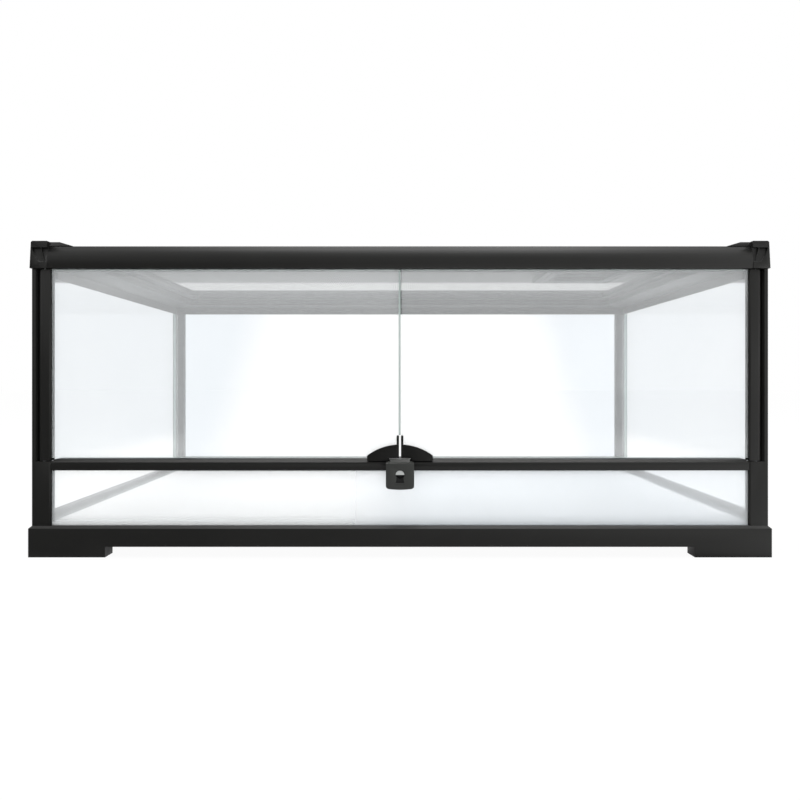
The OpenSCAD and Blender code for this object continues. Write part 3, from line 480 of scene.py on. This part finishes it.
def wire_boxes(spans, z, swap):
    """A thin box for each wire: eight corners as low or high in each of three directions."""
    n = len(spans)
    across = np.stack([spans[:, 0] - WIRE_WIDTH / 2, spans[:, 0] + WIRE_WIDTH / 2], 1)
    along = spans[:, 1:3]
    height = np.tile([z, z + WIRE_THICK], (n, 1))
    corner = np.array([(i, j, k) for k in (0, 1) for j in (0, 1) for i in (0, 1)])
    x, y, zz = along[:, corner[:, 0]], across[:, corner[:, 1]], height[:, corner[:, 2]]
    points = np.stack([y, x, zz] if swap else [x, y, zz], 2).reshape(-1, 3)
    quads = np.array(
        [(0, 2, 3, 1), (4, 5, 7, 6), (0, 1, 5, 4), (2, 6, 7, 3), (0, 4, 6, 2), (1, 3, 7, 5)]
    )
    if swap:
        quads = quads[:, ::-1]
    return points, (quads[None] + 8 * np.arange(n)[:, None, None]).reshape(-1, 4)


def wire_screen(name, node, body, hole=None):
    """The two layers of wires over a CAD node's rectangle, as one mesh."""
    low, high = (np.array(c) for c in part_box(node))
    turned = None if hole is None else [(c[1], c[0]) for c in hole]
    first = wire_boxes(wire_spans(low[:2], high[:2], hole), low[2], False)
    second = wire_boxes(
        wire_spans(low[[1, 0]], high[[1, 0]], turned), low[2] + WIRE_THICK * WIRE_LAP, True
    )
    points = np.r_[first[0], second[0]]
    faces = np.r_[first[1], second[1] + len(first[0])]
    mesh = bpy.data.meshes.new(name)
    mesh.from_pydata(points.tolist(), [], faces.tolist())
    mesh.update()
    piece = bpy.data.objects.new(name, mesh)
    bpy.context.scene.collection.objects.link(piece)
    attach(piece, body)
    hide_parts(node)
    return piece


# Dark grey threads, with the light between them.
wire = satin_abs("coated_wire", WIRE_GREY, WIRE_PALE, (0.5, 0.6), 0.4, 0.0)
hatch_low, hatch_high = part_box("hatch_frame")
SURROUND = 0.0088  # from the hatch frame to the outside of its fixed surround
SURROUND_REACH = 0.1132  # from the hatch frame's hinged side to the far side of the surround
surround = [
    (hatch_low.x - SURROUND, hatch_low.y - SURROUND),
    (hatch_low.x + SURROUND_REACH, hatch_high.y + SURROUND),
]
for screen in (
    wire_screen("lid_wire_screen", "lid_mesh", "lid", surround),
    wire_screen("hatch_wire_screen", "hatch_mesh", "hatch"),
):
    screen.data.materials.append(wire)

# ---------------------------------------------------------------------------------------------
# Door stiles, handles and seal: the stiles are extruded black ABS glued on the glass, the
# quarter-moon handles are moulded with a clip for the pane's corner, and the seal is clear vinyl.

HANDLE_BLACK = "#0B0B0A"
HANDLE_WORN = "#0E0E0D"
# The darkest plastic of the tank, almost without a highlight.
handle_abs = satin_abs(
    "handle_abs", HANDLE_BLACK, HANDLE_WORN, (0.4, 0.45), 0.08, GRAIN_BUMP_MM
)
for name, radius, finish in (
    ("left_stile", 0.4, abs_black),
    ("right_stile", 0.4, abs_black),
    ("left_handle", 0.6, handle_abs),
    ("right_handle", 0.6, handle_abs),
):
    part = softened(name, radius)
    part.data.materials.append(finish)

VINYL = "#A9B4B1"
# A thin grey-green line between the doors.
m, t, out = new_material("clear_vinyl")
vinyl = add(
    t,
    "ShaderNodeBsdfPrincipled",
    {"Base Color": linear(VINYL), "Roughness": 0.25, "Alpha": 0.7},
)
t.links.new(vinyl.outputs["BSDF"], out.inputs["Surface"])
nodes["door_seal"].material_slots[0].material = m

# ---------------------------------------------------------------------------------------------
# Lock: a black ABS housing screwed on the door rail, a steel core with a half-moon key slot,
# and behind it a nylon cam that lifts the bolt.

core_low, core_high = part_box("lock_core")
core_middle = (core_low.z + core_high.z) / 2
HAIR = 0.0001  # keeps the flat at the core's axis steel
CORE_STEEL = "#949695"
# painted shade: the dark colour of the core's lower half, in the key slot
CORE_PAINTED_SHADE = "#070707"


def keyed_core():
    """Steel whose half under the core's own axis, where the key goes in, is painted dark and not
    metallic, as painted shade in the key slot: the place in Z is set against the axis, the middle
    of the core's box."""
    m, t, out = new_material("steel_with_painted_slot_shade")
    place = add(t, "ShaderNodeTexCoord").outputs["Object"]
    height = add(t, "ShaderNodeSeparateXYZ", {0: place}).outputs["Z"]
    under = add(t, "ShaderNodeMath", {0: height, 1: core_middle - HAIR}, operation="LESS_THAN")
    colour = add(
        t,
        "ShaderNodeMix",
        {0: under.outputs[0], MIX_A: linear(CORE_STEEL), MIX_B: linear(CORE_PAINTED_SHADE)},
        data_type="RGBA",
    )
    shine = add(t, "ShaderNodeMapRange", {"Value": under.outputs[0], "To Min": 1.0, "To Max": 0.0})
    shader = add(
        t,
        "ShaderNodeBsdfPrincipled",
        {
            "Base Color": colour.outputs[MIX_RESULT],
            "Metallic": shine.outputs["Result"],
            "Roughness": 0.5,
            "Specular IOR Level": 0.05,
        },
    )
    t.links.new(shader.outputs["BSDF"], out.inputs["Surface"])
    return m


SLOT_HALF = 0.0054  # half the width of the key slot, which is sunk into the housing's face
SLOT_HEIGHT = (core_middle - 0.0101, core_middle + 0.001)
SLOT_DEPTH = (-0.2364, -0.2345)  # in Y, from just behind the face to the slot's floor
# painted shade on the floor of the key slot
SLOT_PAINTED_SHADE = "#060606"
HOUSING_BLACK = "#262726"
HOUSING_WORN = "#2B2C2A"
NYLON = "#D9D6CB"
NYLON_PALE = "#E2DFD5"


def slotted_housing():
    """Satin plastic, a little greyer than the frame, with painted shade on the floor of the key
    slot:
    there the place is within the slot's half width of the middle, from the slot's foot up to the
    core's axis, and between the two depths behind the face."""
    m = satin_abs(
        "lock_housing_abs", HOUSING_BLACK, HOUSING_WORN, (0.42, 0.5), 0.15, GRAIN_BUMP_MM
    )
    t = m.node_tree
    shader = t.nodes["Principled BSDF"]
    plain = shader.inputs["Base Color"].links[0].from_socket
    place = add(t, "ShaderNodeTexCoord").outputs["Object"]
    x, y, z = add(t, "ShaderNodeSeparateXYZ", {0: place}).outputs
    inside = add(t, "ShaderNodeMath", {0: x, 1: 0.0, 2: SLOT_HALF}, operation="COMPARE")
    for along, low, high in ((y, *SLOT_DEPTH), (z, *SLOT_HEIGHT)):
        within = add(
            t,
            "ShaderNodeMath",
            {0: along, 1: (low + high) / 2, 2: (high - low) / 2},
            operation="COMPARE",
        )
        inside = add(
            t, "ShaderNodeMath", {0: inside.outputs[0], 1: within.outputs[0]}, operation="MULTIPLY"
        )
    colour = add(
        t,
        "ShaderNodeMix",
        {0: inside.outputs[0], MIX_A: plain, MIX_B: linear(SLOT_PAINTED_SHADE)},
        data_type="RGBA",
    )
    t.links.new(colour.outputs[MIX_RESULT], shader.inputs["Base Color"])
    return m


part = softened("lock_housing", 0.5)
part.data.materials.append(slotted_housing())
nodes["lock_core"].material_slots[0].material = keyed_core()
# Off-white and slightly waxy.
nodes["lock_cam"].material_slots[0].material = satin_abs(
    "white_nylon", NYLON, NYLON_PALE, (0.4, 0.5), 0.5, 0.01
)

# ---------------------------------------------------------------------------------------------
# The studio: a plain pale floor, one soft lamp high on the right, one overhead, and a white
# surround that the panes and the plastic mirror. A strength of 1 is white, and lamps are in watts.

FLOOR = "#F2F2F2"
FLOOR_PLAIN = 0.95  # share of plain white in the floor; the rest is matt and takes the shadow
FLOOR_REACH = 12.0  # half its side
FLOOR_GLOW_X, FLOOR_GLOW = (-0.5, 0.55), (0.4, 2.4)  # mirrored in front, from left to right

m, t, out = new_material("pale_floor")
rays = add(t, "ShaderNodeLightPath").outputs
seen = add(
    t,
    "ShaderNodeMath",
    {0: rays["Is Camera Ray"], 1: rays["Is Transmission Ray"]},
    operation="MAXIMUM",
)
seen = add(t, "ShaderNodeMath", {0: seen.outputs[0], 1: rays["Is Glossy Ray"]}, operation="MAXIMUM")
part_white = add(t, "ShaderNodeMath", {0: seen.outputs[0], 1: FLOOR_PLAIN}, operation="MULTIPLY")
matt = add(t, "ShaderNodeBsdfDiffuse", {"Color": linear(FLOOR)})
# mirrored in the black plastic: the floor in front grows from grey on the left to bright
spot = add(
    t, "ShaderNodeSeparateXYZ", {0: add(t, "ShaderNodeTexCoord").outputs["Object"]}
).outputs
ahead = add(t, "ShaderNodeMath", {0: spot["Y"], 1: cad_box[0][1]}, operation="LESS_THAN")
mirrored = add(
    t, "ShaderNodeMath", {0: ahead.outputs[0], 1: rays["Is Glossy Ray"]}, operation="MULTIPLY"
)
grown = add(
    t,
    "ShaderNodeMapRange",
    {
        "Value": spot["X"],
        "From Min": FLOOR_GLOW_X[0],
        "From Max": FLOOR_GLOW_X[1],
        "To Min": FLOOR_GLOW[0],
        "To Max": FLOOR_GLOW[1],
    },
)
level = add(t, "ShaderNodeMix", {0: mirrored.outputs[0], 2: 1.0, 3: grown.outputs["Result"]})
white = add(t, "ShaderNodeEmission", {"Color": (1, 1, 1, 1), "Strength": level.outputs[0]})
both = add(
    t, "ShaderNodeMixShader", {0: part_white.outputs[0], 1: matt.outputs[0], 2: white.outputs[0]}
)
t.links.new(both.outputs[0], out.inputs["Surface"])
ground = bpy.data.meshes.new("studio_floor")
corners = [
    (x * FLOOR_REACH, y * FLOOR_REACH, 0) for x, y in ((-1, -1), (1, -1), (1, 1), (-1, 1))
]
ground.from_pydata(corners, [], [(0, 1, 2, 3)])
studio_floor = bpy.data.objects.new("studio_floor", ground)
studio_floor.data.materials.append(m)
bpy.context.scene.collection.objects.link(studio_floor)


def soft_lamp(name, place, target, size, power):
    """A rectangular area lamp that faces its target."""
    lamp = bpy.data.lights.new(name, "AREA")
    lamp.shape = "RECTANGLE"
    lamp.size, lamp.size_y = size
    lamp.energy = power
    holder = bpy.data.objects.new(name, lamp)
    holder.location = place
    holder.rotation_euler = (Vector(target) - Vector(place)).to_track_quat("-Z", "Y").to_euler()
    bpy.context.scene.collection.objects.link(holder)


LIT = (0, 0, 0.2)  # the middle of the tank
SOFTBOX_PLACE, SOFTBOX_SIZE, SOFTBOX_POWER = (2.1, -1.3, 1.1), (1.2, 1.6), 3
OVERHEAD_PLACE, OVERHEAD_SIZE, OVERHEAD_POWER = (0.0, -0.3, 2.3), (2.4, 1.4), 52
soft_lamp("right_softbox", SOFTBOX_PLACE, LIT, SOFTBOX_SIZE, SOFTBOX_POWER)
soft_lamp("overhead_softbox", OVERHEAD_PLACE, LIT, OVERHEAD_SIZE, OVERHEAD_POWER)

# Strengths of the surround, and where each change lies, as parts of a direction of length 1.
AROUND = 1.02  # what lights matt surfaces from all sides
CANOPY, CANOPY_SLOPE = 0.18, (0.157, 0.161)  # the slope is the rise over the way back
LEFT_GLOOM, RIGHT_GLOW, LEFT_TO_RIGHT = 0.0, 5.5, (-0.3, 0.45)
LOW_TO_HIGH = (0.02, 0.2)
UPPER_GLOW, ZENITH_GLOW, UPPER_TO_ZENITH = 1.8, 9.0, (0.7, 0.95)
BEHIND, FRONT_TO_BACK = 1.0, (0.0, 0.35)
world = bpy.data.worlds.new("white_surround")
bpy.context.scene.world = world
world.use_nodes = True
t = world.node_tree
t.nodes.clear()
rays = add(t, "ShaderNodeLightPath").outputs
toward = add(
    t, "ShaderNodeSeparateXYZ", {0: add(t, "ShaderNodeTexCoord").outputs["Generated"]}
).outputs
# seen through the panes: white to the horizon, and a darker ceiling above the lid
steep = add(t, "ShaderNodeMath", {0: toward["Z"], 1: toward["Y"]}, operation="DIVIDE")
above = add(
    t,
    "ShaderNodeMapRange",
    {
        "Value": steep.outputs[0],
        "From Min": CANOPY_SLOPE[0],
        "From Max": CANOPY_SLOPE[1],
        "To Min": 1.0,
        "To Max": CANOPY,
    },
    interpolation_type="SMOOTHSTEP",
)
panes = add(t, "ShaderNodeMath", {0: rays["Transparent Depth"], 1: 0.5}, operation="GREATER_THAN")
seen = add(t, "ShaderNodeMix", {0: panes.outputs[0], 2: 1.0, 3: above.outputs["Result"]})
# mirrored: the side in front of the tank grows from dark on the left to bright on the right and
# overhead, and the side behind it is white
across = add(
    t,
    "ShaderNodeMapRange",
    {
        "Value": toward["X"],
        "From Min": LEFT_TO_RIGHT[0],
        "From Max": LEFT_TO_RIGHT[1],
        "To Min": LEFT_GLOOM,
        "To Max": RIGHT_GLOW,
    },
    interpolation_type="SMOOTHSTEP",
)
height = add(
    t,
    "ShaderNodeMapRange",
    {"Value": toward["Z"], "From Min": LOW_TO_HIGH[0], "From Max": LOW_TO_HIGH[1]},
    interpolation_type="SMOOTHSTEP",
)
overhead = add(
    t,
    "ShaderNodeMapRange",
    {
        "Value": toward["Z"],
        "From Min": UPPER_TO_ZENITH[0],
        "From Max": UPPER_TO_ZENITH[1],
        "To Min": UPPER_GLOW,
        "To Max": ZENITH_GLOW,
    },
    interpolation_type="SMOOTHSTEP",
)
front = add(
    t,
    "ShaderNodeMix",
    {0: height.outputs["Result"], 2: across.outputs["Result"], 3: overhead.outputs["Result"]},
)
depth = add(
    t,
    "ShaderNodeMapRange",
    {"Value": toward["Y"], "From Min": FRONT_TO_BACK[0], "From Max": FRONT_TO_BACK[1]},
    interpolation_type="SMOOTHSTEP",
)
mirrored = add(t, "ShaderNodeMix", {0: depth.outputs["Result"], 2: front.outputs[0], 3: BEHIND})
glossy = add(
    t,
    "ShaderNodeMath",
    {0: rays["Is Glossy Ray"], 1: rays["Is Transmission Ray"]},
    operation="MAXIMUM",
)
soft = add(t, "ShaderNodeMix", {0: glossy.outputs[0], 2: AROUND, 3: mirrored.outputs[0]})
strength = add(
    t, "ShaderNodeMix", {0: rays["Is Camera Ray"], 2: soft.outputs[0], 3: seen.outputs[0]}
)
back = add(t, "ShaderNodeBackground", {"Color": (1, 1, 1, 1), "Strength": strength.outputs[0]})
add(t, "ShaderNodeOutputWorld", {"Surface": back.outputs[0]})

camera_data = bpy.data.cameras.new("camera")
camera_data.lens = 27.468
camera_data.sensor_width = 36
camera_data.shift_y = -0.025
camera = bpy.data.objects.new("camera", camera_data)
camera.location = (0, -0.9785, 0.2186)
camera.rotation_euler = (np.pi / 2, 0, 0)
bpy.context.scene.collection.objects.link(camera)
bpy.context.scene.camera = camera
bpy.context.scene.view_settings.view_transform = "Standard"
